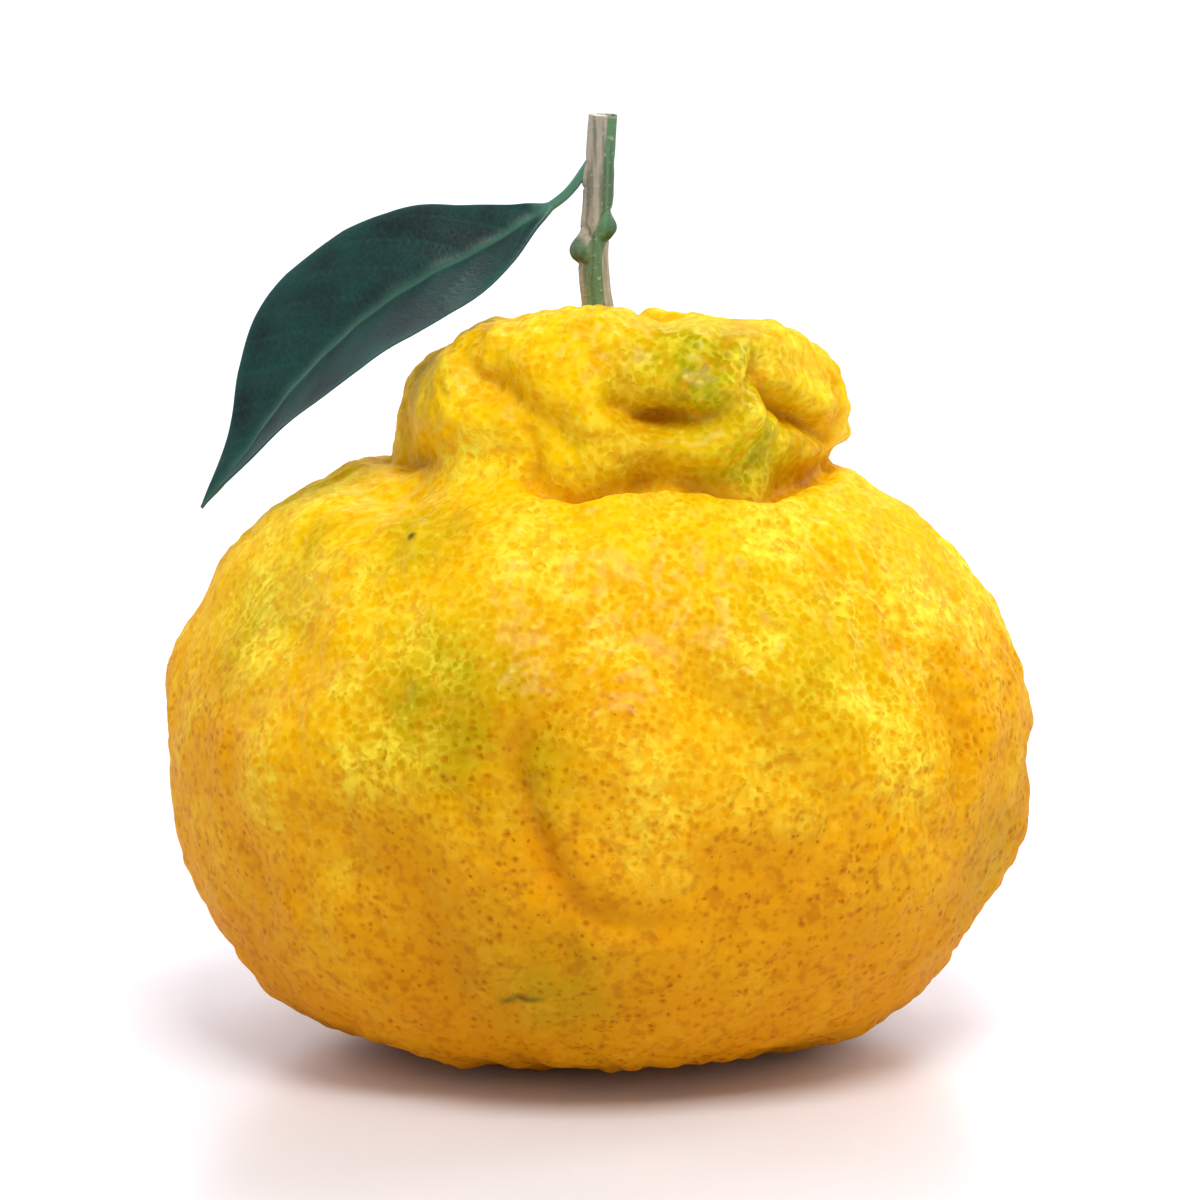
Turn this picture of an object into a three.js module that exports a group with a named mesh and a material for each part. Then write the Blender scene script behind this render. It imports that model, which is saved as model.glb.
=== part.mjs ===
// A whole tangelo as picked, on its cut twig with one leaf: a squat, boxy fruit
// with a lobed neck, the green calyx in the hollow of the neck, the twig that
// stands on the calyx, and a folded leaf that hangs from the twig on its stalk.
//
// Millimetres, +Z up. The origin is the middle of the small flat spot that the
// fruit rests on. The leaf hangs towards -X, and its upper face looks to -Y.
import * as THREE from "three";
import { mergeVertices } from "three/addons/utils/BufferGeometryUtils.js";

// ---------- driving dimensions ----------
const BODY_RADIUS = 60; // widest, at WAIST_HEIGHT
const BODY_DEPTH_SHARE = 0.97; // front to back against side to side
const WAIST_HEIGHT = 43;
const SHOULDER_HEIGHT = 78.6; // where the neck rises out of the body
const NECK_RADIUS = 29;
const NECK_OFFSET = 2.2; // the neck sits a little to +X
const NECK_SLOPE_X = 0.03; // the neck is cut higher on the +X side
const NECK_SLOPE_Y = -0.08; // and higher at the front, -Y
const RIM_HEIGHT = 100.4; // mean height of the neck's top, before its lobes
const HOLLOW_RADIUS = 7.4; // floor of the hollow that holds the calyx
const HOLLOW_FLOOR = 94;
const HOLLOW_LIP = 5; // how far out of the hollow its skin stays plain
const FLAT_SPOT_RADIUS = 16;

const CALYX_RADIUS = 5.4;
const CALYX_HEIGHT = 2.6;
const TWIG_RADIUS = 2.15;
const TWIG_TOP = 130.2;
const STALK_RADIUS = 0.85;
const BLADE_LENGTH = 65;
const BLADE_HALF_WIDTH = 15;
const BLADE_THICKNESS = 0.55;
const BLADE_ROLL_BASE = 52; // degrees the blade leans back, its upper edge away
const BLADE_ROLL_TIP = 62;
const BLADE_FOLD_BASE = 14; // degrees each half is folded out of that plane
const BLADE_FOLD_TIP = 24;
const BLADE_DROOP = 0.05; // how far its edges curl under, as a share of its half width
const GAP = 0.3; // between neighbouring pieces

// ---------- meshing ----------
const FRUIT_DETAIL = 18; // 20 * (detail + 1)^2 triangles
const TWIG_SIDES = 18;
const TWIG_RINGS = 26;
const CALYX_SIDES = 40;
const LEAF_RINGS = 42;
const LEAF_HALF_POINTS = 9; // across each face of a cross-section, edge to edge

function material(color, roughness) {
  return new THREE.MeshStandardMaterial({ color, roughness, metalness: 0 });
}

const smooth = (edge0, edge1, x) => THREE.MathUtils.smoothstep(x, edge0, edge1);
const radians = THREE.MathUtils.degToRad;

// Joins rings of equal size into one closed skin, with a fan over each end.
// Rings run counter-clockwise when seen from the far end of the loft.
function loft(rings) {
  const size = rings[0].length;
  const points = rings.flat();
  const faces = [];
  for (let i = 0; i + 1 < rings.length; i += 1) {
    for (let j = 0; j < size; j += 1) {
      const a = i * size + j;
      const b = i * size + ((j + 1) % size);
      faces.push(a, b, b + size, a, b + size, a + size);
    }
  }
  const middleOf = (ring) =>
    ring.reduce((sum, p) => sum.add(p), new THREE.Vector3()).divideScalar(size);
  const first = points.push(middleOf(rings[0])) - 1;
  const last = points.push(middleOf(rings[rings.length - 1])) - 1;
  const top = (rings.length - 1) * size;
  for (let j = 0; j < size; j += 1) {
    const next = (j + 1) % size;
    faces.push(first, next, j, last, top + j, top + next);
  }
  const geometry = new THREE.BufferGeometry().setFromPoints(points);
  geometry.setIndex(faces);
  geometry.computeVertexNormals();
  return geometry;
}

// ---------- fruit ----------
// Half outline of the fruit as [radius, height], from the middle of the flat
// spot, round the waist, up the neck and down into the hollow.
const OUTLINE = [
  [0, 0],
  [FLAT_SPOT_RADIUS, 0],
  [0.42 * BODY_RADIUS, 0.9],
  [0.56 * BODY_RADIUS, 2.5],
  [0.68 * BODY_RADIUS, 4.9],
  [0.78 * BODY_RADIUS, 8.9],
  [0.85 * BODY_RADIUS, 13.6],
  [0.925 * BODY_RADIUS, 21],
  [0.977 * BODY_RADIUS, 30],
  [BODY_RADIUS, WAIST_HEIGHT],
  [0.992 * BODY_RADIUS, 49.5],
  [0.955 * BODY_RADIUS, 56],
  [0.9 * BODY_RADIUS, 62],
  [0.835 * BODY_RADIUS, 67.2],
  [0.765 * BODY_RADIUS, 71.8],
  [0.69 * BODY_RADIUS, 75.6],
  [NECK_RADIUS + 5.5, SHOULDER_HEIGHT],
  [NECK_RADIUS + 1.6, SHOULDER_HEIGHT + 2.2],
  [NECK_RADIUS + 0.2, SHOULDER_HEIGHT + 6.5],
  [NECK_RADIUS - 0.4, 0.5 * (SHOULDER_HEIGHT + RIM_HEIGHT) + 1.5],
  [NECK_RADIUS - 2.6, RIM_HEIGHT - 4.6],
  [NECK_RADIUS - 6, RIM_HEIGHT - 1.2],
  [NECK_RADIUS - 10.5, RIM_HEIGHT + 0.5],
  [NECK_RADIUS - 15, RIM_HEIGHT],
  [HOLLOW_RADIUS + 3.4, RIM_HEIGHT - 2],
  [HOLLOW_RADIUS + 1.2, HOLLOW_FLOOR + 2.4],
  [HOLLOW_RADIUS, HOLLOW_FLOOR],
  [0.6 * HOLLOW_RADIUS, HOLLOW_FLOOR],
  [0, HOLLOW_FLOOR],
];

// Lobes of the neck, and last the full shoulder at -X: azimuth in degrees from
// +X, height of the middle, distance of the middle from the neck's axis, reach,
// and rise above the outline.
const NECK_LOBES = [
  { azimuth: -146, height: 96, out: 23, reach: 15, rise: 3 },
  { azimuth: -104, height: 99, out: 20, reach: 17, rise: 3.6 },
  { azimuth: -62, height: 95, out: 25, reach: 13, rise: 3.2 },
  { azimuth: -34, height: 98, out: 21, reach: 13, rise: 1.6 },
  { azimuth: -2, height: 90, out: 28, reach: 14, rise: 2.2 },
  { azimuth: 42, height: 95, out: 24, reach: 15, rise: 1.2 },
  { azimuth: 88, height: 95, out: 23, reach: 16, rise: 1.4 },
  { azimuth: 132, height: 95, out: 24, reach: 15, rise: 1.2 },
  { azimuth: 180, height: 97, out: 22, reach: 15, rise: 4.2 },
  { azimuth: -128, height: 86, out: 29, reach: 13, rise: 1.4 },
  { azimuth: -92, height: 86, out: 29, reach: 12, rise: 1.2 },
  { azimuth: -58, height: 86, out: 30, reach: 14, rise: 2.2 },
  { azimuth: -22, height: 86, out: 30, reach: 12, rise: 1.4 },
  { azimuth: 60, height: 86, out: 29, reach: 14, rise: 1.4 },
  { azimuth: 112, height: 86, out: 29, reach: 14, rise: 1.4 },
  { azimuth: 180, height: 75, out: 42, reach: 21, rise: 3 },
];
const LOBE_VALLEY = 1.3; // how deep the skin sinks between lobes
const LOBE_BLEND = 0.9; // how softly two lobes meet
const WAVE_RISE = 0.6;

const outlineCurve = new THREE.SplineCurve(
  OUTLINE.map(([radius, height]) => new THREE.Vector2(radius, height)),
);
outlineCurve.arcLengthDivisions = 800;

// Gentle unevenness of the whole skin: slow waves of 35 to 60 mm.
function slowWaves(p) {
  return (
    Math.sin(0.118 * p.x + 0.07 * p.z + 0.6) * Math.sin(0.105 * p.y - 0.04 * p.x + 1.1) +
    0.8 * Math.sin(0.15 * p.y + 0.09 * p.z + 2.3) * Math.sin(0.13 * p.z - 0.06 * p.y + 0.4) +
    0.6 * Math.sin(0.19 * p.x - 0.11 * p.y + 4.0) * Math.sin(0.16 * p.z + 0.05 * p.x)
  );
}

// The larger of two heights, rounded off where they are about equal.
function softMax(a, b) {
  const share = THREE.MathUtils.clamp(0.5 + (0.5 * (b - a)) / LOBE_BLEND, 0, 1);
  return THREE.MathUtils.lerp(a, b, share) + LOBE_BLEND * share * (1 - share);
}

// How far the lobes lift the skin at a point. Between them it sinks.
function lobeRise(p, onNeck) {
  const valley = LOBE_VALLEY * onNeck;
  return NECK_LOBES.reduce((rise, lobe) => {
    const middle = new THREE.Vector3(
      NECK_OFFSET + lobe.out * Math.cos(radians(lobe.azimuth)),
      lobe.out * Math.sin(radians(lobe.azimuth)),
      lobe.height,
    );
    const share = p.distanceTo(middle) / lobe.reach;
    const dome = (lobe.rise + valley) * (1 - share * share) - valley;
    return softMax(rise, Math.max(dome, -valley - LOBE_BLEND));
  }, -valley);
}

// The skin at a share of the way along the outline and an azimuth in radians.
function fruitPoint(along, azimuth) {
  const [radius, height] = outlineCurve.getPointAt(along).toArray();
  const [radiusStep, heightStep] = outlineCurve.getTangentAt(along).toArray();
  const outOfHollow = smooth(HOLLOW_RADIUS, HOLLOW_RADIUS + HOLLOW_LIP, radius);
  const onNeck = smooth(SHOULDER_HEIGHT - 2, SHOULDER_HEIGHT + 8, height) * outOfHollow;
  const depthShare = THREE.MathUtils.lerp(BODY_DEPTH_SHARE, 1, onNeck);
  const p = new THREE.Vector3(
    radius * Math.cos(azimuth) + NECK_OFFSET * onNeck,
    radius * Math.sin(azimuth) * depthShare,
    height,
  );
  const outward = new THREE.Vector3(
    heightStep * Math.cos(azimuth),
    heightStep * Math.sin(azimuth),
    -radiusStep,
  );
  const upperHalf = height > WAIST_HEIGHT;
  const offFlatSpot = smooth(FLAT_SPOT_RADIUS, 2 * FLAT_SPOT_RADIUS, radius);
  const waves = WAVE_RISE * slowWaves(p) * (upperHalf ? outOfHollow : offFlatSpot);
  const lobes = upperHalf ? outOfHollow * lobeRise(p, onNeck) : 0;
  p.addScaledVector(outward, waves + lobes);
  const sloped = smooth(SHOULDER_HEIGHT - 14, SHOULDER_HEIGHT, height) * outOfHollow;
  p.z += sloped * (NECK_SLOPE_X * p.x + NECK_SLOPE_Y * p.y);
  p.z = Math.max(p.z, 0);
  return p;
}

// An even ball of triangles, each point of which is carried to the skin: its
// polar angle gives the place along the outline.
function fruitGeometry() {
  const ball = new THREE.IcosahedronGeometry(1, FRUIT_DETAIL);
  ball.deleteAttribute("normal");
  ball.deleteAttribute("uv");
  const geometry = mergeVertices(ball, 1e-5);
  const position = geometry.getAttribute("position");
  const point = new THREE.Vector3();
  for (let i = 0; i < position.count; i += 1) {
    point.fromBufferAttribute(position, i).normalize();
    const along = 1 - Math.acos(THREE.MathUtils.clamp(point.z, -1, 1)) / Math.PI;
    const skin = fruitPoint(along, Math.atan2(point.y, point.x));
    position.setXYZ(i, skin.x, skin.y, skin.z);
  }
  geometry.computeVertexNormals();
  return geometry;
}

// ---------- calyx ----------
// Five blunt sepals round a button, standing in the hollow of the neck.
function calyxGeometry() {
  const floor = HOLLOW_FLOOR + GAP;
  const levels = [
    { lift: 0, share: 0.8 },
    { lift: 0.25, share: 0.96 },
    { lift: 0.5, share: 1 },
    { lift: 0.75, share: 0.88 },
    { lift: 0.92, share: 0.66 },
    { lift: 1, share: 0.5 },
  ];
  const rings = levels.map(({ lift, share }) =>
    Array.from({ length: CALYX_SIDES }, (_, j) => {
      const azimuth = (2 * Math.PI * j) / CALYX_SIDES;
      const sepal = 1 + 0.16 * share * Math.cos(5 * azimuth + 0.7);
      const radius = CALYX_RADIUS * 0.86 * share * sepal;
      return new THREE.Vector3(
        radius * Math.cos(azimuth),
        radius * Math.sin(azimuth),
        floor + CALYX_HEIGHT * lift,
      );
    }),
  );
  return loft(rings);
}

// ---------- twig ----------
const TWIG_FOOT = HOLLOW_FLOOR + CALYX_HEIGHT + 2 * GAP;
const twigLine = new THREE.CatmullRomCurve3([
  new THREE.Vector3(0, 0, TWIG_FOOT),
  new THREE.Vector3(-0.3, -0.1, TWIG_FOOT + 6),
  new THREE.Vector3(-0.9, -0.2, TWIG_FOOT + 13),
  new THREE.Vector3(-0.3, 0, TWIG_FOOT + 20),
  new THREE.Vector3(0.1, 0.1, TWIG_FOOT + 27),
  new THREE.Vector3(0.5, 0.1, TWIG_TOP),
]);

// Dormant buds on the twig: azimuth in degrees from +X, height and size.
const BUDS = [
  { azimuth: 200, height: 109.5, reach: 3.0, rise: 1.5 },
  { azimuth: -12, height: 113.4, reach: 2.8, rise: 1.4 },
  { azimuth: 176, height: 122.2, reach: 2.2, rise: 0.7 },
];

function twigRadius(point, azimuth) {
  const flare = 0.55 * (1 - smooth(TWIG_FOOT, TWIG_FOOT + 9, point.z));
  const ribs = 0.09 * Math.cos(5 * azimuth + 0.05 * point.z);
  const buds = BUDS.reduce((sum, bud) => {
    const turn = Math.atan2(
      Math.sin(azimuth - radians(bud.azimuth)),
      Math.cos(azimuth - radians(bud.azimuth)),
    );
    const away = Math.hypot(turn * TWIG_RADIUS, point.z - bud.height) / bud.reach;
    return sum + bud.rise * Math.max(0, 1 - away * away) ** 1.5;
  }, 0);
  const taper = 0.15 * smooth(TWIG_TOP - 14, TWIG_TOP, point.z);
  return TWIG_RADIUS + flare + ribs + buds - taper;
}

function twigGeometry() {
  const rings = Array.from({ length: TWIG_RINGS }, (_, i) => {
    const centre = twigLine.getPointAt(i / (TWIG_RINGS - 1));
    return Array.from({ length: TWIG_SIDES }, (__, j) => {
      const azimuth = (2 * Math.PI * j) / TWIG_SIDES;
      const radius = twigRadius(centre, azimuth);
      return new THREE.Vector3(
        centre.x + radius * Math.cos(azimuth),
        centre.y + radius * Math.sin(azimuth),
        centre.z,
      );
    });
  });
  return loft(rings);
}

// ---------- leaf ----------
// The leaf's middle line: first the stalk from the twig, then the midrib.
const LEAF_NODE_HEIGHT = 121.4;
const leafLine = new THREE.CatmullRomCurve3([
  new THREE.Vector3(-TWIG_RADIUS - GAP - 0.9, -0.1, LEAF_NODE_HEIGHT),
  new THREE.Vector3(-5.6, -0.4, 118.2),
  new THREE.Vector3(-9.4, -0.8, 115.8),
  new THREE.Vector3(-16.4, -1.8, 111.6),
  new THREE.Vector3(-23.8, -2.8, 107.9),
  new THREE.Vector3(-31.4, -3.6, 103.0),
  new THREE.Vector3(-38.4, -4.2, 96.7),
  new THREE.Vector3(-43.9, -4.6, 90.6),
  new THREE.Vector3(-49.2, -5.4, 83.4),
  new THREE.Vector3(-55.2, -6.6, 76.2),
]);
const leafLength = leafLine.getLength();
const STALK_SHARE = 1 - BLADE_LENGTH / leafLength;

// Half width of the blade, as a share of its widest, at shares of its length.
const WIDTH_PLACES = [0, 0.06, 0.14, 0.26, 0.4, 0.53, 0.63, 0.72, 0.8, 0.9, 1];
const WIDTH_SHARES = [0.05, 0.2, 0.48, 0.82, 1, 1, 0.88, 0.62, 0.38, 0.18, 0.03];
const bladeWidth = new THREE.CubicInterpolant(WIDTH_PLACES, WIDTH_SHARES, 1);

// Directions in a cross-section: out along the upper half, out along the lower
// half, and out of the upper face. Both halves rise towards the upper face, so
// the blade is a shallow trough along its midrib.
function leafDirections(tangent, share, onBlade) {
  const across = new THREE.Vector3(0, 1, 0).cross(tangent).normalize();
  const back = new THREE.Vector3().crossVectors(tangent, across).normalize();
  const roll = THREE.MathUtils.lerp(BLADE_ROLL_BASE, BLADE_ROLL_TIP, share);
  const fold = onBlade * THREE.MathUtils.lerp(BLADE_FOLD_BASE, BLADE_FOLD_TIP, share);
  const side = (degrees) =>
    across
      .clone()
      .multiplyScalar(Math.cos(radians(degrees)))
      .addScaledVector(back, Math.sin(radians(degrees)));
  return {
    upper: side(roll - fold),
    lower: side(roll + fold).negate(),
    face: side(roll - 90),
  };
}

// A cross-section of the leaf: round on the stalk, a thin folded sheet on the
// blade, with its points from the lower edge over the face to the upper edge
// and back under it.
function leafRing(along) {
  const centre = leafLine.getPointAt(along);
  const share = THREE.MathUtils.clamp((along - STALK_SHARE) / (1 - STALK_SHARE), 0, 1);
  const onBlade = smooth(0, 0.05, share);
  const { upper, lower, face } = leafDirections(leafLine.getTangentAt(along), share, onBlade);
  const bladeHalf = BLADE_HALF_WIDTH * bladeWidth.evaluate(share)[0];
  const halfWidth = Math.max(bladeHalf, STALK_RADIUS * (1 - smooth(0.4, 1, share)));
  const thin = 0.5 * BLADE_THICKNESS * (1 - 0.4 * smooth(0.9, 1, share));
  const halfThick = THREE.MathUtils.lerp(STALK_RADIUS, thin, onBlade);
  const points = 2 * LEAF_HALF_POINTS;
  return Array.from({ length: points }, (_, i) => {
    const u = -Math.cos((2 * Math.PI * i) / points);
    const round = Math.sqrt(Math.max(0, 1 - u * u));
    const thick = halfThick * THREE.MathUtils.lerp(round, round ** 0.35, onBlade);
    const droop = BLADE_DROOP * onBlade * halfWidth * u * u;
    return centre
      .clone()
      .addScaledVector(u < 0 ? lower : upper, halfWidth * Math.abs(u))
      .addScaledVector(face, (i < LEAF_HALF_POINTS ? thick : -thick) - droop);
  });
}

function leafGeometry() {
  const rings = Array.from({ length: LEAF_RINGS }, (_, i) => leafRing(i / (LEAF_RINGS - 1)));
  return loft(rings);
}

// ---------- assembly ----------
function piece(name, geometry, colour, roughness) {
  const mesh = new THREE.Mesh(geometry, material(colour, roughness));
  mesh.name = name;
  return mesh;
}

const tangelo = new THREE.Group();
tangelo.add(
  piece("fruit", fruitGeometry(), 0xe8b40c, 0.42),
  piece("calyx", calyxGeometry(), 0x5f7a3a, 0.65),
  piece("twig", twigGeometry(), 0x83927a, 0.7),
  piece("leaf", leafGeometry(), 0x17503c, 0.4),
);

export default tangelo;
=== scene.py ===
import math

import bpy
import numpy as np
from bpy.props import FloatProperty, FloatVectorProperty, PointerProperty
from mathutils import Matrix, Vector, noise
from mathutils.bvhtree import BVHTree


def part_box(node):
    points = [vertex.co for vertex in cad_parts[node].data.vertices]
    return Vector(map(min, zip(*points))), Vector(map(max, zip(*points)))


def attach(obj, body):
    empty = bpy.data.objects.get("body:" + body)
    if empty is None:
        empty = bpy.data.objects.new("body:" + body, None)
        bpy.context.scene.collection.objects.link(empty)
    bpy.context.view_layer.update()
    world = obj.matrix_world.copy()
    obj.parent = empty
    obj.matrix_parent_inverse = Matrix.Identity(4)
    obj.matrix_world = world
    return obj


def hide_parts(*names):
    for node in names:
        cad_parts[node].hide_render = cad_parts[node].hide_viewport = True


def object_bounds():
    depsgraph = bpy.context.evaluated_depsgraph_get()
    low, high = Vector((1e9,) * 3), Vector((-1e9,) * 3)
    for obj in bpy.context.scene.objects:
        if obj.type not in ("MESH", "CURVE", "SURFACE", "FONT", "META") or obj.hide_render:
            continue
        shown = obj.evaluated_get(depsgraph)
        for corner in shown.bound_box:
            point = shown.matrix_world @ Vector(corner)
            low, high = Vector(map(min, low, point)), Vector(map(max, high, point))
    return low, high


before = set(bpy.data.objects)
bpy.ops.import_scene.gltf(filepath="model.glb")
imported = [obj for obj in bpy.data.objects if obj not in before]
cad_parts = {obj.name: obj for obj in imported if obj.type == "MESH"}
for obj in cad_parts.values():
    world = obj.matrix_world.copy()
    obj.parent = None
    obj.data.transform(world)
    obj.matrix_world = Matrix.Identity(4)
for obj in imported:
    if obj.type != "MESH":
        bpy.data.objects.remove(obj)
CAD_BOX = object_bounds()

# The looks of a whole tangelo with its calyx, twig and leaf, built round the
# solids of the frame: the rind with its lobes, folds and oil glands, the ribbed
# twig with its buds, the folded waxy leaf, and a pale studio to see them in.

bl_info = {
    "name": "Tangelo",
    "version": (1, 0, 0),
    "blender": (4, 5, 0),
    "location": "3D Viewport > Sidebar > Tangelo",
    "description": "Makes the rind, calyx, twig and leaf of a whole tangelo, and its stage",
    "category": "Object",
}

MM = 0.001

# Node settings that many of the materials share.
COLOUR_MIX = {"data_type": "RGBA"}
SOFT_STEP = {"interpolation_type": "SMOOTHSTEP"}
PRODUCT = {"operation": "MULTIPLY"}
PRODUCT_PLUS = {"operation": "MULTIPLY_ADD"}


# ---------- shared helpers ----------
def linear(hex_colour):
    """An sRGB hex colour as linear red, green, blue and alpha."""
    channels = [int(hex_colour[i:i + 2], 16) / 255 for i in (0, 2, 4)]
    return [c / 12.92 if c <= 0.04045 else ((c + 0.055) / 1.055) ** 2.4 for c in channels] + [1.0]


def smooth(low, high, x):
    """0 below low, 1 above high, and a soft step between them."""
    t = np.clip((x - low) / (high - low), 0.0, 1.0)
    return t * t * (3.0 - 2.0 * t)


def add(tree, kind, settings=None, inputs=None, out=0):
    """Adds a node with its settings, and with a value or a link on each named input.
    Gives back one of its outputs, for the next node to take."""
    made = tree.nodes.new(kind)
    for name, value in (settings or {}).items():
        setattr(made, name, value)
    for name, value in (inputs or {}).items():
        if isinstance(value, bpy.types.NodeSocket):
            tree.links.new(value, made.inputs[name])
        else:
            made.inputs[name].default_value = value
    return None if out is None else made.outputs[out]


def new_material(name):
    material = bpy.data.materials.new(name)
    material.use_nodes = True
    material.node_tree.nodes.clear()
    return material, material.node_tree


def finish_material(tree, settings):
    """Ends a material in one Principled surface with these inputs."""
    surface = add(tree, "ShaderNodeBsdfPrincipled", None, settings)
    add(tree, "ShaderNodeOutputMaterial", None, {"Surface": surface}, out=None)


def new_piece(name, points, faces, material, attributes=None):
    """A smooth mesh piece from points in millimetres, with float attributes per point."""
    mesh = bpy.data.meshes.new(name)
    mesh.from_pydata((np.asarray(points) * MM).tolist(), [], faces)
    mesh.polygons.foreach_set("use_smooth", [True] * len(mesh.polygons))
    for label, values in (attributes or {}).items():
        layer = mesh.attributes.new(label, "FLOAT", "POINT")
        layer.data.foreach_set("value", np.asarray(values, np.float32))
    mesh.materials.append(material)
    mesh.update()
    piece = bpy.data.objects.new(name, mesh)
    bpy.context.scene.collection.objects.link(piece)
    return piece


def join_frame(piece, node):
    """The piece stands for a node of the frame: it hangs under the root, and the node's own part is hidden.
    """
    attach(piece, "root")
    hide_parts(node)


def box_mm(node):
    low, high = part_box(node)
    return np.array(low) / MM, np.array(high) / MM


def in_box(node, shares):
    """Points in millimetres from shares of the way across a node's box."""
    low, high = box_mm(node)
    return low + np.asarray(shares, float) * (high - low)


def noise_at(points, wavelength, offset=0.0, octaves=1):
    """Smooth noise from about -1 to 1 with a wavelength in millimetres."""
    scaled = points / wavelength + offset
    if octaves == 1:
        return np.array([noise.noise(p) for p in scaled.tolist()])
    return np.array([noise.fractal(p, 1.0, 2.0, octaves) for p in scaled.tolist()])


def spline(points, count):
    """Evenly spaced points along a smooth curve through the given ones."""
    points = np.asarray(points, float)
    padded = np.vstack([2 * points[0] - points[1], points, 2 * points[-1] - points[-2]])
    dense = []
    for a, b, c, d in zip(padded, padded[1:], padded[2:], padded[3:]):
        for t in np.linspace(0, 1, 40, endpoint=False):
            dense.append(0.5 * (2 * b + (c - a) * t + (2 * a - 5 * b + 4 * c - d) * t * t
                                + (3 * b - a - 3 * c + d) * t ** 3))
    dense = np.array(dense + [points[-1]])
    steps = np.linalg.norm(np.diff(dense, axis=0), axis=1)
    along = np.concatenate([[0], np.cumsum(steps)])
    wanted = np.linspace(0, along[-1], count)
    return np.stack([np.interp(wanted, along, dense[:, k]) for k in range(3)], axis=1)


def loft_faces(rings, size):
    """Quads between rings of equal size, with a fan over each end round an added point."""
    faces = []
    for i in range(rings - 1):
        for j in range(size):
            k = (j + 1) % size
            faces.append((i * size + j, i * size + k, (i + 1) * size + k, (i + 1) * size + j))
    first, last, top = rings * size, rings * size + 1, (rings - 1) * size
    for j in range(size):
        k = (j + 1) % size
        faces.append((first, k, j))
        faces.append((last, top + j, top + k))
    return faces


def capped(rings):
    """The points of an array of rings, and then the middle of its first and last ring."""
    flat = rings.reshape(-1, 3)
    return np.vstack([flat, rings[0].mean(0), rings[-1].mean(0)])


# ---------- rind: shape ----------
HEART = np.array([0.0, 0.0, 45.0])  # inside the fruit; every part of the rind can be seen from it
RIND_GRID = 128  # squares along an edge of the ball's six faces
SPACING_STEPS = 40  # rounds of sliding the points of the rind apart
NECK_FOOT = 0.765  # height where the neck starts, as a share of the fruit's

# Folds of the rind: depth and half width in millimetres, then points as azimuth
# in degrees from +X and height in millimetres.
FOLDS = [
    # under the green lobe at the front of the neck
    (4.2, 1.4, [(-86, 93.8), (-80, 92.6), (-73, 92.0), (-66, 91.8), (-61, 92.2)]),
    (1.3, 1.3, [(-61, 92.2), (-55, 95.0), (-48, 97.5), (-42, 98.6)]),
    # down its right side, and out to the shoulder
    (2.8, 1.4, [(-47, 98.5), (-45, 94.0), (-37, 91.6), (-27, 88.8), (-16, 86.4)]),
    # dimple at the left, and the crease from it
    (2.4, 2.0, [(-128, 97.0), (-121, 95.8), (-115, 95.0)]),
    (1.3, 1.6, [(-115, 95.0), (-109, 93.6), (-101, 91.8)]),
    # between the three front lobes, up to the rim
    (0.9, 2.4, [(-76, 104.0), (-81, 100.0), (-82, 95.6)]),
    (1.5, 1.8, [(-136, 100.5), (-133, 98.5), (-128, 97.0)]),
    # foot of the neck, at the front and round to the right
    (3.6, 1.4, [(-107, 83.0), (-100, 82.2), (-93, 82.2), (-86, 82.8), (-79, 84.0)]),
    (2.6, 1.6, [(-79, 84.0), (-66, 82.9), (-52, 81.6), (-38, 82.0), (-24, 82.2), (-8, 82.0)]),
    # foot of the neck, at the left and round the back
    (1.6, 1.8, [(-176, 82.4), (-160, 83.4), (-146, 84.6)]),
    (2.4, 1.7, [(-8, 82.0), (16, 80.6), (42, 79.6), (70, 78.6), (96, 78.4), (124, 79.2), (150, 80.4),
                (184, 82.4)]),
    # lobes of the neck, at the back
    (2.2, 1.6, [(4, 98.0), (10, 93.0), (22, 88.5), (34, 84.0)]),
    (2.4, 1.6, [(62, 99.0), (66, 94.0), (58, 88.0)]),
    (1.8, 1.5, [(58, 88.0), (76, 86.4), (96, 88.0), (110, 90.0)]),
    (2.3, 1.6, [(108, 98.5), (110, 92.0), (124, 86.0)]),
    (2.0, 1.6, [(152, 98.0), (156, 92.0), (150, 87.0), (163, 84.0)]),
    # belly, front
    (1.6, 2.0, [(-96, 59.0), (-99, 55.8), (-101, 52.0), (-100, 47.0), (-98, 41.0), (-96, 36.0), (-93, 32.0),
                (-88, 29.2), (-83, 28.4)]),
    (1.4, 1.6, [(-94, 29.0), (-94, 22.5)]),
    (1.1, 3.2, [(-150, 70.0), (-143, 66.5), (-137, 61.6)]),
    (1.0, 3.5, [(-121, 58.5), (-112, 56.7), (-104, 53.0)]),
    (0.9, 4.0, [(-127, 38.5), (-119, 34.7), (-113, 30.0), (-111, 23.0)]),
    (1.0, 3.0, [(-78, 62.0), (-70, 57.0), (-66, 49.0)]),
    # belly, right and back
    (1.3, 2.4, [(-38, 60.0), (-33, 50.0), (-36, 38.0)]),
    (1.2, 3.0, [(-10, 44.0), (0, 35.0), (2, 24.0)]),
    (1.5, 2.2, [(28, 66.0), (34, 56.0), (30, 44.0), (36, 34.0)]),
    (1.2, 2.6, [(72, 58.0), (80, 46.0), (78, 32.0)]),
    (1.6, 2.2, [(118, 64.0), (122, 54.0), (130, 46.0), (128, 36.0)]),
    (1.2, 3.0, [(160, 52.0), (168, 42.0), (166, 30.0)]),
]

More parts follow.
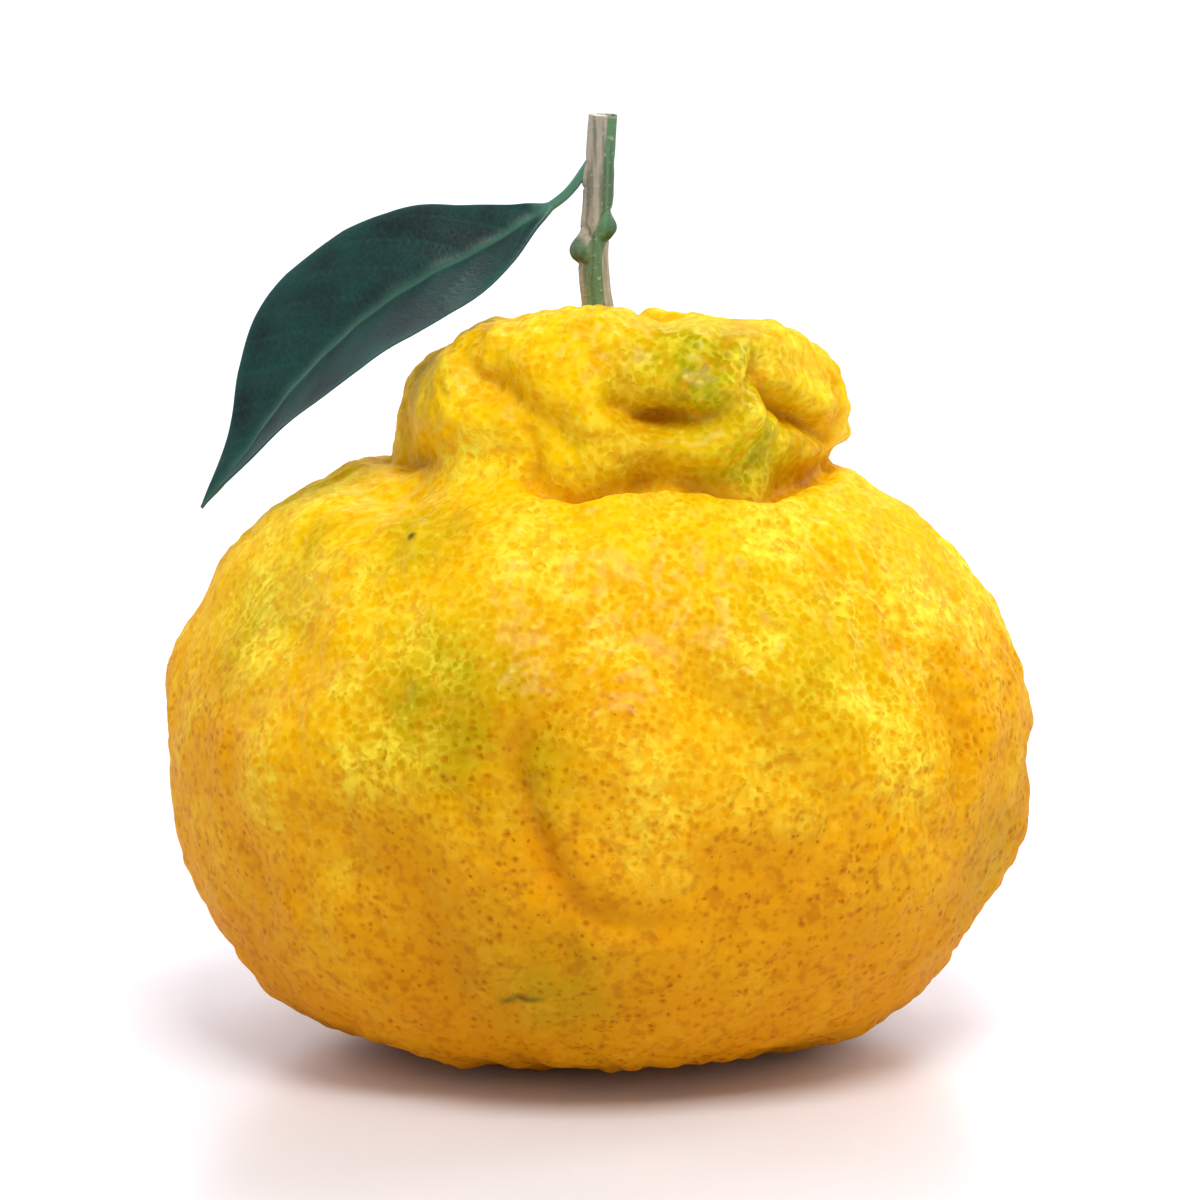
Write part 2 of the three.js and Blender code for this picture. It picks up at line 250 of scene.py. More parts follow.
# Swells and dimples of the rind: azimuth, height, reach, and rise in millimetres.
SWELLS = [
    # neck, front: green lobe, knob beside its notch, dome, left tier, dimple, lower roll
    (-64, 98.4, 7.0, 1.9), (-54, 92.4, 3.0, 1.7), (-98, 101.0, 8.0, 0.9), (-136, 90.0, 7.0, 1.5),
    (-120, 97.2, 3.6, -1.7), (-172, 101.0, 7.0, -3.0), (158, 100.0, 9.0, -2.4), (-88, 88.2, 5.0, 0.9),
    (-66, 88.0, 5.0, 1.3), (-50, 87.0, 4.4, 1.1),
    (-34, 98.0, 6.0, 1.2), (-15, 95.0, 7.0, 1.4), (-30, 87.0, 4.0, 0.8),
    # neck, sides and back
    (40, 95.0, 7.0, 1.6), (84, 95.0, 7.5, 1.8), (130, 95.0, 7.5, 1.7), (75, 84.0, 5.0, 1.0),
    (150, 86.0, 5.0, 1.0), (8, 86.0, 5.0, 1.0),
    # belly, front
    (-88, 55.0, 8.0, 1.5), (-80, 41.0, 10.0, 1.3), (-109, 67.0, 8.5, 1.5), (-129, 48.0, 10.0, 1.0),
    (-115, 22.0, 8.0, -0.9), (-92, 74.0, 9.0, 0.9), (-133, 72.0, 8.0, 0.9), (-62, 66.0, 9.0, 1.0),
    (-143, 30.0, 9.0, -0.8), (-105, 38.0, 6.0, 0.6), (-55, 30.0, 10.0, 0.9),
    # belly, sides and back
    (-20, 62.0, 10.0, 1.2), (18, 48.0, 11.0, 1.2), (52, 64.0, 10.0, 1.3), (58, 34.0, 12.0, 1.1),
    (96, 60.0, 11.0, 1.4), (104, 34.0, 11.0, 1.0), (142, 62.0, 10.0, 1.2), (150, 32.0, 11.0, 1.0),
    (176, 56.0, 9.0, 0.9), (-164, 48.0, 9.0, 0.8),
]

# Green tints of the rind: azimuth, height, reach in millimetres, and strength.
GREEN_PATCHES = [
    (-63, 98, 12, 1.2), (-52, 88, 11, 1.1), (-80, 86, 7, 0.5), (-36, 88, 8, 0.55),
    (-112, 57, 12, 1.0), (-100, 50, 8, 0.6), (-152, 64, 10, 0.65), (-150, 72, 8, 0.45),
    (-126, 77, 7, 0.7), (-97, 18, 10, 0.55), (-58, 62, 14, 0.6), (-96, 88, 6, 0.3),
    (20, 60, 16, 0.5), (75, 90, 10, 0.7), (120, 52, 15, 0.6), (165, 74, 10, 0.5), (60, 24, 12, 0.4),
    (-118, 104, 6, 0.25), (-20, 30, 12, 0.4),
]

# A thin healed scratch low on the belly, and a dry speck on the shoulder: azimuth and height.
SCAR = [(-104.5, 16.4), (-102.0, 17.0), (-99.0, 16.9)]
SCAR_HALF_WIDTH = 0.55
SPECK = (-127, 76.3)


def ball(squares):
    """Directions and quads of a ball made from a cube's six faces."""
    turn = np.tan(np.linspace(-math.pi / 4, math.pi / 4, squares + 1))
    u, v = np.meshgrid(turn, turn, indexing="ij")
    one = np.ones_like(u)
    sides = [(one, u, v), (-one, v, u), (v, one, u), (u, -one, v), (u, v, one), (v, u, -one)]
    points = np.concatenate([np.stack(side, -1).reshape(-1, 3) for side in sides])
    points /= np.linalg.norm(points, axis=1)[:, None]
    row = squares + 1
    corner = (np.arange(squares)[:, None] * row + np.arange(squares)[None, :]).reshape(-1)
    quad = np.stack([corner, corner + row, corner + row + 1, corner + 1], axis=1)
    quads = np.concatenate([quad + side * row * row for side in range(6)])
    keys = np.round(points * 1e6).astype(np.int64)
    first, same = np.unique(keys, axis=0, return_index=True, return_inverse=True)[1:]
    return points[first], same.reshape(-1)[quads]


def skin_tree(node):
    """A search tree over a node of the frame, with its facets rounded off."""
    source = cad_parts[node].data
    points = np.array([v.co[:] for v in source.vertices])
    keys = np.round(points * 1e7).astype(np.int64)
    first, same = np.unique(keys, axis=0, return_index=True, return_inverse=True)[1:]
    same = same.reshape(-1)
    faces = [[int(same[i]) for i in polygon.vertices] for polygon in source.polygons]
    mesh = bpy.data.meshes.new("rounded")
    mesh.from_pydata((points[first] / MM).tolist(), [], [f for f in faces if len(set(f)) == len(f)])
    rounded = bpy.data.objects.new("rounded", mesh)
    bpy.context.scene.collection.objects.link(rounded)
    rounded.modifiers.new("round", "SUBSURF").levels = 2
    tree = BVHTree.FromObject(rounded, bpy.context.evaluated_depsgraph_get())
    bpy.data.objects.remove(rounded)
    return tree


def polar(tilt, azimuth):
    """Directions from a tilt off +Z and an azimuth, both in radians."""
    return np.stack([np.sin(tilt) * np.cos(azimuth), np.sin(tilt) * np.sin(azimuth), np.cos(tilt)], -1)


def cast(tree, directions):
    heart = Vector(HEART)
    return np.array([tree.ray_cast(heart, Vector(d))[0][:] for d in directions])


def spread_tilts(tree, tilts, neck_foot):
    """Turns even tilts into ones that space points evenly along the rind, closer on the neck."""
    steps = np.linspace(0, math.pi, 361)
    total = np.zeros(len(steps))
    for azimuth in np.linspace(0, 2 * math.pi, 16, endpoint=False):
        line = cast(tree, polar(steps, np.full(len(steps), azimuth)))
        length = np.linalg.norm(np.diff(line, axis=0), axis=1)
        weight = 1 + 0.7 * smooth(neck_foot - 4, neck_foot + 4, line[1:, 2])
        total[1:] += np.cumsum(length * weight)
    return np.interp(tilts / math.pi, total / total[-1], steps)


def evened(points, quads, tree):
    """Slides the points along the rind until they stand evenly, where it is steep too."""
    links = np.concatenate([quads[:, [corner, (corner + 1) % 4]] for corner in range(4)])
    links = np.unique(np.sort(links, axis=1), axis=0)
    starts = np.concatenate([links[:, 0], links[:, 1]])
    ends = np.concatenate([links[:, 1], links[:, 0]])
    count = np.bincount(starts, minlength=len(points))
    for step in range(SPACING_STEPS):
        middle = [np.bincount(starts, points[ends, axis], len(points)) / count for axis in range(3)]
        move = np.stack(middle, axis=1) - points
        normals = point_normals(points, quads)
        points = points + move - normals * (move * normals).sum(1)[:, None]
        if step % 10 == 9:
            points = np.array([tree.find_nearest(p)[0][:] for p in points.tolist()])
    return points


def point_normals(points, quads):
    """Unit normals per point, from the quads round it."""
    across = np.cross(points[quads[:, 2]] - points[quads[:, 0]], points[quads[:, 3]] - points[quads[:, 1]])
    total = np.zeros_like(points)
    for corner in range(4):
        np.add.at(total, quads[:, corner], across)
    return total / np.linalg.norm(total, axis=1)[:, None]


def on_skin(tree, azimuth, height):
    """The point of the rind at an azimuth in degrees and a height in millimetres."""
    angle = math.radians(azimuth)
    outward = Vector((math.cos(angle), math.sin(angle), 0))
    start = outward * 100 + Vector((0, 0, height))
    found = tree.ray_cast(start, -outward)[0]
    return np.array(found)


def distance_to_line(points, line):
    """Shortest distance from each point to a line of short straight steps."""
    best = np.full(len(points), np.inf)
    for a, b in zip(line, line[1:]):
        step = b - a
        share = np.clip((points - a) @ step / (step @ step), 0, 1)
        best = np.minimum(best, np.linalg.norm(points - a - share[:, None] * step, axis=1))
    return best


def folded(points, tree):
    """Displacement by the folds, and how deep in one each point lies, 0 to 1."""
    rise = np.zeros(len(points))
    depth_share = np.zeros(len(points))
    wander = noise_at(points, 5.0, 7.3)
    for depth, half_width, places in FOLDS:
        line = spline([on_skin(tree, *place) for place in places], 5 * len(places))
        away = distance_to_line(points, line) + 0.5 * wander
        ends = np.minimum(np.linalg.norm(points - line[0], axis=1), np.linalg.norm(points - line[-1], axis=1))
        fade = 0.45 + 0.55 * smooth(0, 5 * half_width, ends)
        cut = np.exp(-(away / half_width) ** 2) * fade
        lip = np.exp(-((away - 2.6 * half_width) / (1.3 * half_width)) ** 2) * fade
        rise += -depth * cut + 0.22 * depth * lip
        depth_share = np.maximum(depth_share, cut * min(1, depth / 3))
    return rise, depth_share


def billow(points, wavelength, offset):
    """Rounded pillows with narrow valleys between them, from about -0.5 to 1."""
    return 2.4 * np.abs(noise_at(points, wavelength, offset)) - 0.5


def swollen(points, tree):
    """Displacement by the swells and dimples."""
    rise = np.zeros(len(points))
    for azimuth, height, reach, high in SWELLS:
        away = np.linalg.norm(points - on_skin(tree, azimuth, height), axis=1)
        rise += high * np.exp(-(away / reach) ** 2)
    return rise


def rind_relief(points, tree, props, neck_foot):
    """How far the rind stands out at each point, and how deep in a fold the point is."""
    neck = smooth(neck_foot, neck_foot + 5, points[:, 2])
    rise, depth_share = folded(points, tree)
    azimuth = np.degrees(np.arctan2(points[:, 1], points[:, 0]))
    rough_side = 0.55 + 0.45 * smooth(-0.2, 0.5, np.cos(np.radians(azimuth + 60)))
    lumps = noise_at(points, 14, 2.1, 2) * (0.6 + 0.2 * neck)
    pillows = billow(points, 8.5, 5.7) * (0.42 + 0.1 * neck) * rough_side
    pebbles = billow(points, 3.6, 9.2) * (0.34 + 0.05 * neck) * rough_side
    grains = noise_at(points, 1.9, 6.4) * 0.18
    seams = np.exp(-(noise_at(points, 17, 3.9) / 0.09) ** 2)
    seam_depth = 0.35 + 0.75 * neck * smooth(-0.4, 0.4, np.sin(np.radians(azimuth)))
    rise += props.lump_height / MM * (lumps + pillows + pebbles + grains - seam_depth * seams)
    rise += swollen(points, tree)
    return rise, np.maximum(depth_share, 0.35 * seams * neck)


def build_rind(props):
    tree = skin_tree("fruit")
    low, high = box_mm("fruit")
    neck_foot = low[2] + NECK_FOOT * (high[2] - low[2])
    directions, quads = ball(RIND_GRID)
    tilt = np.arccos(np.clip(directions[:, 2], -1, 1))
    azimuth = np.arctan2(directions[:, 1], directions[:, 0])
    points = cast(tree, polar(spread_tilts(tree, tilt, neck_foot), azimuth))
    points = evened(points, quads, tree)
    normals = point_normals(points, quads)
    if (normals * (points - HEART)).sum() < 0:
        quads = quads[:, ::-1]
        normals = -normals
    rise, depth_share = rind_relief(points, tree, props, neck_foot)
    from_axis = np.hypot(points[:, 0], points[:, 1])
    upper = points[:, 2] > HEART[2]
    free = np.where(upper, smooth(7.5, 13, from_axis), smooth(16, 30, from_axis))
    points = points + normals * (rise * free)[:, None]
    points[:, 2] = np.maximum(points[:, 2], low[2])
    green = np.zeros(len(points))
    for at_azimuth, height, reach, strength in GREEN_PATCHES:
        away = np.linalg.norm(points - on_skin(tree, at_azimuth, height), axis=1)
        green = np.maximum(green, strength * np.exp(-(away / reach) ** 2))
    speck = on_skin(tree, *SPECK)
    scar_line = np.array([on_skin(tree, *place) for place in SCAR])
    scar = np.exp(-(distance_to_line(points, scar_line) / SCAR_HALF_WIDTH) ** 2)
    attributes = {"fold": depth_share * free, "green": green, "scar": scar}
    return points, quads.tolist(), attributes, speck


# ---------- rind: finish ----------
def rind_material(props, speck):
    """Waxy citrus rind: semi-gloss, with oil glands that show as pits, ringed in pale
    yellow painted highlights on the upper half and filled with orange-brown on the lower half.
    Its colour also holds painted shade: deeper orange in the folds, and partly towards the bottom."""
    material, tree = new_material("waxy_citrus_rind")
    place = add(tree, "ShaderNodeTexCoord", out="Object")
    height = add(tree, "ShaderNodeSeparateXYZ", None, {0: place}, "Z")
    fold = add(tree, "ShaderNodeAttribute", {"attribute_name": "fold"}, None, "Fac")
    green = add(tree, "ShaderNodeAttribute", {"attribute_name": "green"}, None, "Fac")
    gland = 1 / props.gland_spacing

    # slow clouds of colour, 25 mm and 7 mm across
    clouds = add(tree, "ShaderNodeTexNoise", None, {"Vector": place, "Scale": 40, "Detail": 2}, "Fac")
    mottle = add(tree, "ShaderNodeTexNoise", None, {"Vector": place, "Scale": 150, "Detail": 3}, "Fac")
    cloud_lift = add(tree, "ShaderNodeMath", PRODUCT_PLUS, {0: clouds, 1: 0.06, 2: -0.03})
    level = add(tree, "ShaderNodeMath", {"operation": "ADD"}, {0: height, 1: cloud_lift})
    # colour by height, yellow at the top and deeper orange towards the bottom: partly the rind's own colour
    # and partly painted shade on the lower half
    lower = add(tree, "ShaderNodeMapRange", SOFT_STEP,
                {"Value": level, "From Min": 0.005, "From Max": 0.05})
    upper = add(tree, "ShaderNodeMapRange", SOFT_STEP,
                {"Value": level, "From Min": 0.042, "From Max": 0.086})
    colour = add(tree, "ShaderNodeMix", COLOUR_MIX,
                 {0: lower, 6: props.low_colour_and_shade, 7: props.middle_colour}, 2)
    colour = add(tree, "ShaderNodeMix", COLOUR_MIX, {0: upper, 6: colour, 7: props.top_colour}, 2)
    mottle_share = add(tree, "ShaderNodeMapRange", None,
                       {"Value": mottle, "From Min": 0.45, "From Max": 0.75, "To Max": 0.45})
    colour = add(tree, "ShaderNodeMix", COLOUR_MIX,
                 {0: mottle_share, 6: colour, 7: props.mottle_colour}, 2)

    # green where the rind ripened last, broken up by the mottling
    green_share = add(tree, "ShaderNodeMath", PRODUCT, {0: green, 1: 0.82})
    green_break = add(tree, "ShaderNodeMapRange", None,
                      {"Value": mottle, "From Min": 0.3, "From Max": 0.6, "To Min": 0.5})
    green_share = add(tree, "ShaderNodeMath", PRODUCT, {0: green_share, 1: green_break})
    colour = add(tree, "ShaderNodeMix", COLOUR_MIX,
                 {0: green_share, 6: colour, 7: props.green_colour}, 2)

    # glands: a cell for each, warped a little so that they don't line up
    wander = add(tree, "ShaderNodeTexNoise", None, {"Vector": place, "Scale": 420, "Detail": 1}, "Color")
    wander = add(tree, "ShaderNodeVectorMath", {"operation": "SCALE"}, {0: wander, "Scale": 0.0011})
    glands = add(tree, "ShaderNodeVectorMath", {"operation": "ADD"}, {0: place, 1: wander})
    gland_away = add(tree, "ShaderNodeTexVoronoi", None, {"Vector": glands, "Scale": gland}, "Distance")
    gland_kind = add(tree, "ShaderNodeTexVoronoi", None, {"Vector": glands, "Scale": gland}, "Color")
    gland_kind = add(tree, "ShaderNodeSeparateColor", None, {0: gland_kind}, "Red")

    # painted highlights: pale rings on the rounded rims round the glands, and pale dots, broken up, strong in
    # patches on the upper half, which faces the light; the same rims and dots also stand up in the relief
    wide_away = add(tree, "ShaderNodeTexVoronoi", None, {"Vector": glands, "Scale": 0.56 * gland}, "Distance")
    fine_ring = add(tree, "ShaderNodeMapRange", SOFT_STEP,
                    {"Value": gland_away, "From Min": 0.34, "From Max": 0.62})
    wide_ring = add(tree, "ShaderNodeMapRange", SOFT_STEP,
                    {"Value": wide_away, "From Min": 0.36, "From Max": 0.62})
    broken = add(tree, "ShaderNodeTexNoise", None, {"Vector": place, "Scale": 700, "Detail": 2}, "Fac")
    broken = add(tree, "ShaderNodeMapRange", None,
                 {"Value": broken, "From Min": 0.36, "From Max": 0.6, "To Min": 0.3})
    patches = add(tree, "ShaderNodeTexNoise", None, {"Vector": place, "Scale": 85, "Detail": 2}, "Fac")
    fine_patch = add(tree, "ShaderNodeMapRange", SOFT_STEP,
                     {"Value": patches, "From Min": 0.42, "From Max": 0.68, "To Min": 0.3, "To Max": 0.9})
    wide_patch = add(tree, "ShaderNodeMapRange", SOFT_STEP,
                     {"Value": patches, "From Min": 0.54, "From Max": 0.64})
    fine_ring_share = add(tree, "ShaderNodeMath", PRODUCT, {0: fine_ring, 1: fine_patch})
    wide_ring_share = add(tree, "ShaderNodeMath", PRODUCT, {0: wide_ring, 1: wide_patch})
    rings = add(tree, "ShaderNodeMath", {"operation": "MAXIMUM"}, {0: fine_ring_share, 1: wide_ring_share})
    # painted highlights: a pale dot in the middle of each wide cell
    dot = add(tree, "ShaderNodeMapRange", SOFT_STEP,
              {"Value": wide_away, "From Min": 0.1, "From Max": 0.42, "To Min": 0.65, "To Max": 0})
    rings = add(tree, "ShaderNodeMath", {"operation": "MAXIMUM"}, {0: rings, 1: dot})
    rings = add(tree, "ShaderNodeMath", PRODUCT, {0: rings, 1: broken})
    # the painted highlights are strongest on the upper half, where the light falls from above
    ring_highlight_height = add(tree, "ShaderNodeMapRange", SOFT_STEP,
                      {"Value": level, "From Min": 0.03, "From Max": 0.066, "To Min": 0.14, "To Max": 1.0})
    ring_highlight_share = add(tree, "ShaderNodeMath", PRODUCT, {0: rings, 1: ring_highlight_height})
    colour = add(tree, "ShaderNodeMix", COLOUR_MIX, {0: ring_highlight_share, 6: colour, 7: props.ring_highlight_colour}, 2)

    # glands: orange on the upper half, red-brown dots of uneven size in loose clusters below
    pit_size = add(tree, "ShaderNodeMapRange", None,
                   {"Value": gland_kind, "From Min": 0.2, "From Max": 1, "To Min": 0.12, "To Max": 0.6})
    pit = add(tree, "ShaderNodeMapRange", SOFT_STEP,
              {"Value": gland_away, "From Min": 0.0, "From Max": pit_size, "To Min": 1, "To Max": 0})
    cluster = add(tree, "ShaderNodeMapRange", SOFT_STEP,
                  {"Value": mottle, "From Min": 0.36, "From Max": 0.62, "To Min": 0.35})
    pit_share = add(tree, "ShaderNodeMath", PRODUCT, {0: pit, 1: cluster})
    pit_height = add(tree, "ShaderNodeMapRange", SOFT_STEP,
                     {"Value": level, "From Min": 0.034, "From Max": 0.07})
    pit_colour = add(tree, "ShaderNodeMix", COLOUR_MIX,
                     {0: pit_height, 6: props.pit_colour, 7: props.gland_colour}, 2)
    pit_depth = add(tree, "ShaderNodeMapRange", None, {"Value": pit_height, "To Min": 0.85, "To Max": 0.26})
    pit_share = add(tree, "ShaderNodeMath", PRODUCT, {0: pit_share, 1: pit_depth})
    colour = add(tree, "ShaderNodeMix", COLOUR_MIX, {0: pit_share, 6: colour, 7: pit_colour}, 2)

    # a coarser, softer speckle where neighbouring glands run together
    speckle = add(tree, "ShaderNodeTexNoise", None, {"Vector": place, "Scale": 520, "Detail": 3}, "Fac")
    speckle = add(tree, "ShaderNodeMapRange", SOFT_STEP,
                  {"Value": speckle, "From Min": 0.5, "From Max": 0.68, "To Max": 0.4})
    colour = add(tree, "ShaderNodeMix", COLOUR_MIX, {0: speckle, 6: colour, 7: pit_colour}, 2)

    # painted shade: the folds are darkened to a deeper orange by their depth; and one dry black speck sits on
    # the shoulder
    fold_shade_share = add(tree, "ShaderNodeMath", PRODUCT, {0: fold, 1: 0.75})
    colour = add(tree, "ShaderNodeMix", COLOUR_MIX, {0: fold_shade_share, 6: colour, 7: props.fold_shade_colour}, 2)
    scar = add(tree, "ShaderNodeAttribute", {"attribute_name": "scar"}, None, "Fac")
    scar_share = add(tree, "ShaderNodeMath", PRODUCT, {0: scar, 1: 0.8})
    colour = add(tree, "ShaderNodeMix", COLOUR_MIX,
                 {0: scar_share, 6: colour, 7: linear("5A4A10")}, 2)
    speck_away = add(tree, "ShaderNodeVectorMath", {"operation": "DISTANCE"},
                     {0: place, 1: (speck * MM).tolist()}, "Value")
    speck_share = add(tree, "ShaderNodeMapRange", SOFT_STEP,
                      {"Value": speck_away, "From Min": 0.4 * MM, "From Max": 1.1 * MM,
                       "To Min": 0.9, "To Max": 0})
    colour = add(tree, "ShaderNodeMix", COLOUR_MIX,
                 {0: speck_share, 6: colour, 7: linear("2A2410")}, 2)

    # relief in millimetres: pits sink, the skin between glands domes up
    grain = add(tree, "ShaderNodeTexNoise", None, {"Vector": place, "Scale": 2400, "Detail": 2}, "Fac")
    relief = add(tree, "ShaderNodeMath", PRODUCT_PLUS, {0: pit_share, 1: -0.27, 2: 0})
    relief = add(tree, "ShaderNodeMath", PRODUCT_PLUS, {0: rings, 1: 0.16, 2: relief})
    relief = add(tree, "ShaderNodeMath", PRODUCT_PLUS, {0: grain, 1: 0.03, 2: relief})
    bump = add(tree, "ShaderNodeBump", None, {"Strength": 1, "Distance": MM, "Height": relief})

    roughness = add(tree, "ShaderNodeMapRange", None,
                    {"Value": mottle, "From Min": 0.3, "From Max": 0.7, "To Min": 0.34, "To Max": 0.46})
    finish_material(tree, {
        "Base Color": colour, "Roughness": roughness, "Normal": bump, "IOR": 1.45,
        "Specular IOR Level": 0.0, "Subsurface Weight": 0.05, "Subsurface Radius": (1.0, 0.5, 0.1),
        "Subsurface Scale": 0.001, "Coat Weight": 0.15, "Coat Roughness": 0.24,
    })
    return material


# ---------- calyx ----------
def build_calyx():
    """A five-lobed button with grooved sepals and a sunken middle round the twig."""
    low, high = box_mm("calyx")
    middle = 0.5 * (low + high)
    reach = 0.5 * min(high[0] - low[0], high[1] - low[1])
    tall = high[2] - low[2]
    profile = [(0.6, 0.0), (0.84, 0.04), (0.96, 0.18), (1.0, 0.36), (0.97, 0.56), (0.88, 0.74),
               (0.76, 0.86), (0.64, 0.9), (0.56, 0.94), (0.5, 0.98), (0.42, 1.0)]
    turn = np.linspace(0, 2 * math.pi, 120, endpoint=False)
    rings = []
    for share, lift in profile:
        lobes = 1 + 0.17 * share * np.cos(5 * turn + 0.7)
        grooves = 0.02 * share * np.cos(35 * turn)
        radius = reach * share * 0.86 * (lobes + grooves)
        crown = 0.25 * share * np.cos(5 * turn + 0.7) * math.sin(math.pi * lift)
        rings.append(np.stack([middle[0] + radius * np.cos(turn), middle[1] + radius * np.sin(turn),
                               low[2] + tall * lift + crown], axis=1))
    rings = np.array(rings)
    points = capped(rings)
    points[:, 2] = np.clip(points[:, 2], low[2], high[2])
    away = np.hypot(points[:, 0] - middle[0], points[:, 1] - middle[1]) / reach
    return points, loft_faces(len(rings), len(turn)), {"out": away}


def calyx_material(props):
    """Dried green calyx: matt, leathery, browner towards the lobes' edges."""
    material, tree = new_material("leathery_calyx")
    place = add(tree, "ShaderNodeTexCoord", out="Object")
    out = add(tree, "ShaderNodeAttribute", {"attribute_name": "out"}, None, "Fac")
    fibre = add(tree, "ShaderNodeTexNoise", None, {"Vector": place, "Scale": 1400, "Detail": 4}, "Fac")
    edge = add(tree, "ShaderNodeMapRange", SOFT_STEP,
               {"Value": out, "From Min": 0.6, "From Max": 1.0, "To Max": 0.7})
    colour = add(tree, "ShaderNodeMix", COLOUR_MIX,
                 {0: edge, 6: props.calyx_colour, 7: linear("6B5A34")}, 2)
    fibre_share = add(tree, "ShaderNodeMapRange", None,
                      {"Value": fibre, "From Min": 0.45, "From Max": 0.75, "To Max": 0.5})
    colour = add(tree, "ShaderNodeMix", COLOUR_MIX, {0: fibre_share, 6: colour, 7: linear("9DA672")}, 2)
    bump = add(tree, "ShaderNodeBump", None, {"Strength": 0.6, "Distance": 0.0002, "Height": fibre})
    finish_material(tree, {"Base Color": colour, "Roughness": 0.62, "Normal": bump, "IOR": 1.45})
    return material


# ---------- twig ----------
# Middle line of the twig, as shares of its box.
TWIG_LINE = [(0.606, 0.515, 0.0), (0.563, 0.498, 0.18), (0.477, 0.48, 0.4), (0.562, 0.515, 0.6),
             (0.62, 0.533, 0.82), (0.677, 0.533, 1.0)]
# Buds and the leaf's cushion: azimuth in degrees, height as a share of the twig, reach and rise.
BUDS = [
    (212, 0.43, 2.3, 1.3),
    (-24, 0.52, 2.0, 1.05),
    (172, 0.735, 1.9, 0.4),
]


def build_twig(props):
    """A five-ribbed shoot with two round buds, a leaf cushion and a slanting clean cut."""
    rings, size = 240, 72
    line = spline(in_box("twig", TWIG_LINE), rings)
    low, high = line[0, 2], line[-1, 2]
    tall = high - low
    turn = np.linspace(0, 2 * math.pi, size, endpoint=False)
    radius_here = props.twig_radius / MM
    share, azimuth = np.meshgrid((line[:, 2] - low) / tall, turn, indexing="ij")
    foot = 0.55 * (1 - smooth(0, 0.26, share))
    taper = -0.12 * smooth(0.55, 1, share)
    ribs = 0.12 * np.cos(5 * azimuth + 1.7 * share) + 0.05 * np.cos(11 * azimuth - 2 * share)
    radius = radius_here + foot + taper + ribs
    relief = np.zeros_like(radius)
    tips = np.zeros_like(radius)
    for bud_azimuth, bud_share, reach, rise in BUDS:
        off = np.angle(np.exp(1j * (azimuth - math.radians(bud_azimuth)))) * radius_here
        up = (share - bud_share) * tall
        away = np.hypot(off * 1.15, up * np.where(up > 0, 0.8, 1.25)) / reach
        body = smooth(1.0, 0.1, away)
        scale_tip = np.exp(-((off / 1.1) ** 2 + ((up + 1.2) / 0.55) ** 2))
        relief += rise * (body + 0.3 * scale_tip)
        tips = np.maximum(tips, scale_tip * min(1, rise))
        relief -= 0.22 * np.exp(-((away - 1.12) / 0.14) ** 2)
    radius = radius + relief
    points = np.stack([line[:, None, 0] + radius * np.cos(azimuth),
                       line[:, None, 1] + radius * np.sin(azimuth),
                       np.broadcast_to(line[:, None, 2], radius.shape)], axis=-1)
    flat = points.reshape(-1, 3)
    grain = 0.07 * noise_at(flat * np.array([1, 1, 0.22]), 1.1, 4.0, 2)
    grain += 0.1 * noise_at(flat, 2.6, 8.0)
    outward = np.stack([np.cos(azimuth), np.sin(azimuth), np.zeros_like(azimuth)], -1).reshape(-1, 3)
    keep = np.repeat(np.where(np.arange(rings) > rings - 4, 0.4, 1.0), size)
    flat = flat + outward * (grain * keep)[:, None]
    rim = flat[-size:]
    slant = -0.35 * (rim[:, 0] - rim[:, 0].mean()) / radius_here
    rim[:, 2] += slant - slant.max()
    inner = rim.mean(0) + (rim - rim.mean(0)) * 0.55
    inner[:, 2] += 0.04
    rings_all = np.concatenate([flat, inner]).reshape(rings + 1, size, 3)
    all_points = capped(rings_all)
    cut = np.zeros(len(all_points))
    cut[rings * size:(rings + 1) * size] = 1
    cut[-1] = 1
    cut[(rings - 1) * size:rings * size] = 0.55
    bud = np.concatenate([relief.reshape(-1), np.zeros(size + 2)])
    # the green side turns from the front round to the right going up; the grey beside it is partly bark and
    # partly a painted highlight stripe on the upper left front
    green_side = np.radians(-90 + 62 * smooth(0.38, 0.6, share))
    stripe = smooth(-0.25, 0.45, np.cos(2 * (azimuth - green_side)))
    stripe = np.concatenate([stripe.reshape(-1), np.zeros(size + 2)])
    tip = np.concatenate([tips.reshape(-1), np.zeros(size + 2)])
    attributes = {"cut": cut, "bud": np.clip(bud, 0, 1.5), "stripe": stripe, "tip": tip}
    return all_points, loft_faces(rings + 1, size), attributes


